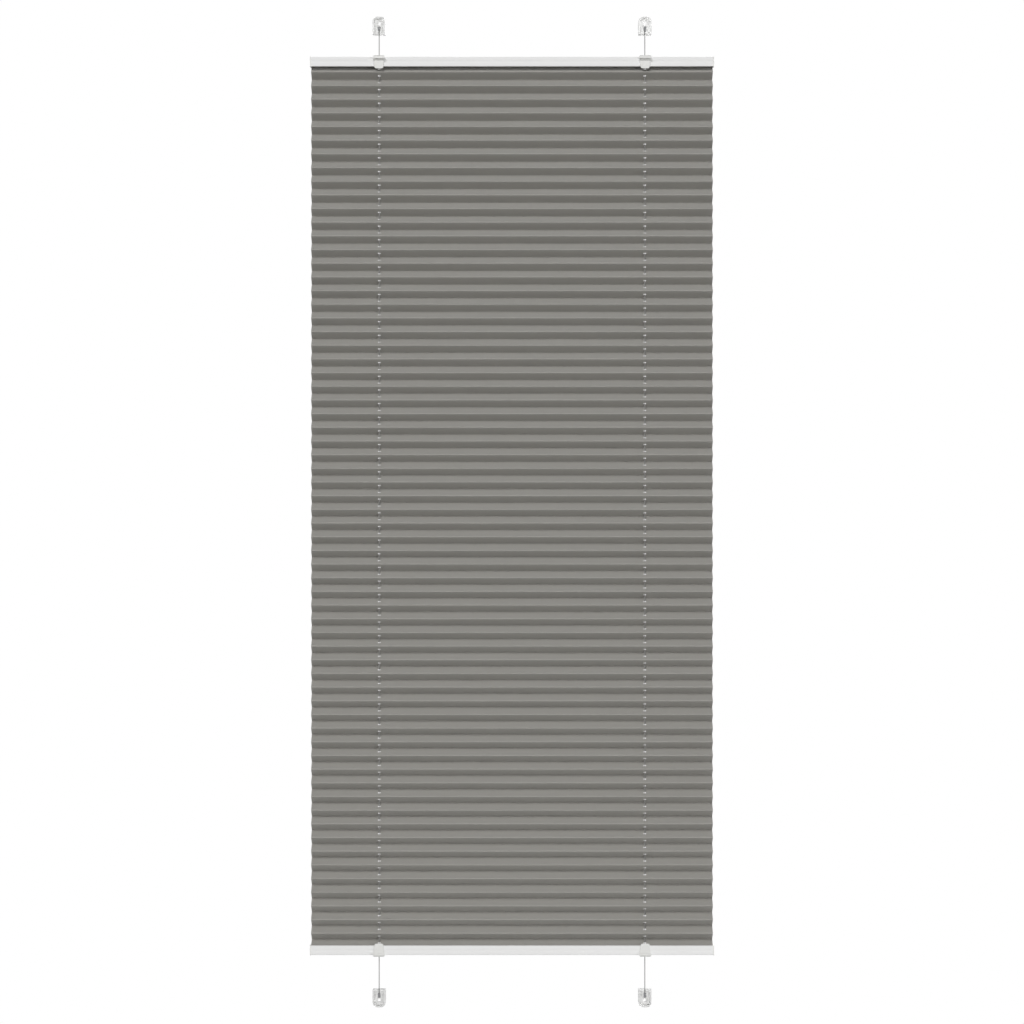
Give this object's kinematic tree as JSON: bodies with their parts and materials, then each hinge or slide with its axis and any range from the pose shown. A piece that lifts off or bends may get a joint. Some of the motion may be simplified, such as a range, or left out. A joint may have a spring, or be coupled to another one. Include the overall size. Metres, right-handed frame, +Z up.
{
  "type": "pleated blind",
  "caption": "Pleated day blind: folded cloth between slim rails that slide on taut cords held by small clear brackets.",
  "frame": {"origin": "centre of the four bracket screws, in the plane of the brackets' back faces", "axes": "+Z up along the cords, +X along the rails to the right as seen from the front, +Y towards the window that the brackets are screwed to"},
  "size_m": [0.45, 0.0256, 1.1044],
  "materials": {
    "pleated_polyester": "plain woven polyester, warm grey",
    "white_aluminium": "white powder coat, satin",
    "white_plastic": "white moulded, satin",
    "grip_plastic": "white moulded, slightly glossy",
    "strip_plastic": "warm white extruded strip",
    "clear_plastic": "clear moulded",
    "grey_plastic": "grey moulded",
    "braided_cord": "fine grey braid"
  },
  "bodies": {
    "root": {"cord_left": "braided_cord", "bracket_top_left": "clear_plastic", "cord_stop_top_left": "grey_plastic", "bracket_bottom_left": "clear_plastic", "cord_stop_bottom_left": "grey_plastic", "cord_right": "braided_cord", "bracket_top_right": "clear_plastic", "cord_stop_top_right": "grey_plastic", "bracket_bottom_right": "clear_plastic", "cord_stop_bottom_right": "grey_plastic"},
    "top_rail": {"top_rail": "white_aluminium", "top_carrier_strip": "strip_plastic", "top_end_cap_left": "white_plastic", "top_cord_guide_left": "white_plastic", "top_grip_left": "grip_plastic", "top_end_cap_right": "white_plastic", "top_cord_guide_right": "white_plastic", "top_grip_right": "grip_plastic", "pleated_cloth": "pleated_polyester"},
    "bottom_rail": {"bottom_rail": "white_aluminium", "bottom_carrier_strip": "strip_plastic", "bottom_end_cap_left": "white_plastic", "bottom_cord_guide_left": "white_plastic", "bottom_grip_left": "grip_plastic", "bottom_end_cap_right": "white_plastic", "bottom_cord_guide_right": "white_plastic", "bottom_grip_right": "grip_plastic"}
  },
  "joints": [
    {"name": "top_rail_slide", "type": "slide", "parent": "root", "child": "top_rail", "axis": [0, 0, 1], "range_m": [-0.0364, 0.0225]},
    {"name": "bottom_rail_slide", "type": "slide", "parent": "top_rail", "child": "bottom_rail", "axis": [0, 0, 1], "range_m": [0, 0.93], "deforming": ["pleated_cloth"]}
  ]
}
